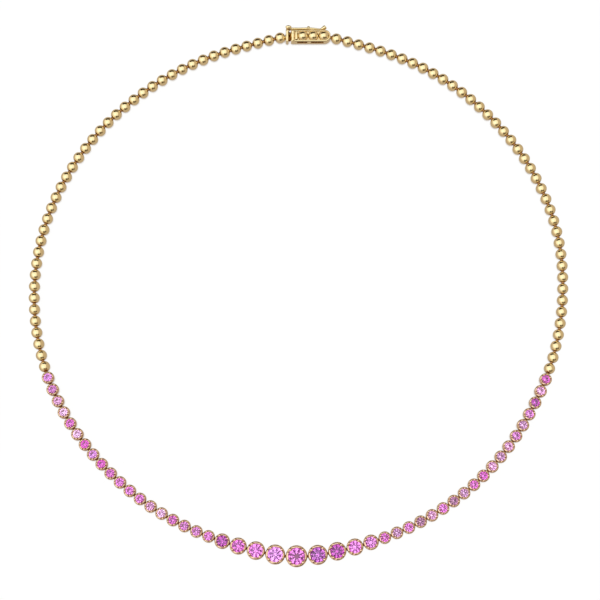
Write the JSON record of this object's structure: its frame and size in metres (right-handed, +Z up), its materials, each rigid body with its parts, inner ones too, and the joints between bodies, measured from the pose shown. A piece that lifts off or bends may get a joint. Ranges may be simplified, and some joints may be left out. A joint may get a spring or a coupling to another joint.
{
  "type": "riviere necklace",
  "caption": "Collar-length riviere necklace of round cut pink stones in gold cup settings, graduated to the centre, with plain gold bead sides and a domed box clasp with safety lever.",
  "frame": {"origin": "on the surface that the necklace lies on, under the middle of the closed loop's box", "axes": "+Z up out of the surface, +Y towards the clasp, +X to the right as the loop is seen from above with the centre stone nearest"},
  "size_m": [0.133, 0.1356, 0.0037],
  "materials": {
    "bead_gold": "polished yellow gold",
    "setting_gold": "polished gold, slightly rosy",
    "small_stone": "cut and polished pink sapphire",
    "vivid_stone": "cut and polished pink sapphire",
    "violet_stone": "cut and polished violet sapphire",
    "deep_stone": "cut and polished deep pink sapphire"
  },
  "bodies": {
    "necklace": {"bead_string_left": "bead_gold", "bead_string_right": "bead_gold", "small_settings_left": "setting_gold", "small_settings_right": "setting_gold", "small_stones_left": "small_stone", "small_stones_right": "small_stone", "graduated_setting_left_1": "setting_gold", "graduated_setting_left_2": "setting_gold", "graduated_setting_left_3": "setting_gold", "graduated_setting_left_4": "setting_gold", "centre_setting": "setting_gold", "graduated_setting_right_4": "setting_gold", "graduated_setting_right_3": "setting_gold", "graduated_setting_right_2": "setting_gold", "graduated_setting_right_1": "setting_gold", "graduated_stone_left_1": "deep_stone", "graduated_stone_left_2": "violet_stone", "graduated_stone_left_3": "vivid_stone", "graduated_stone_left_4": "violet_stone", "centre_stone": "vivid_stone", "graduated_stone_right_4": "violet_stone", "graduated_stone_right_3": "deep_stone", "graduated_stone_right_2": "vivid_stone", "graduated_stone_right_1": "violet_stone", "clasp_box": "bead_gold", "clasp_tongue": "bead_gold"},
    "safety_lever": {"safety_lever": "bead_gold"}
  },
  "joints": [
    {"name": "safety_lever_swing", "type": "hinge", "parent": "necklace", "child": "safety_lever", "pos_m": [-0.00264, 0.06696, 0.0013], "axis": [0, 0, 1], "range_deg": [0, 150]}
  ]
}
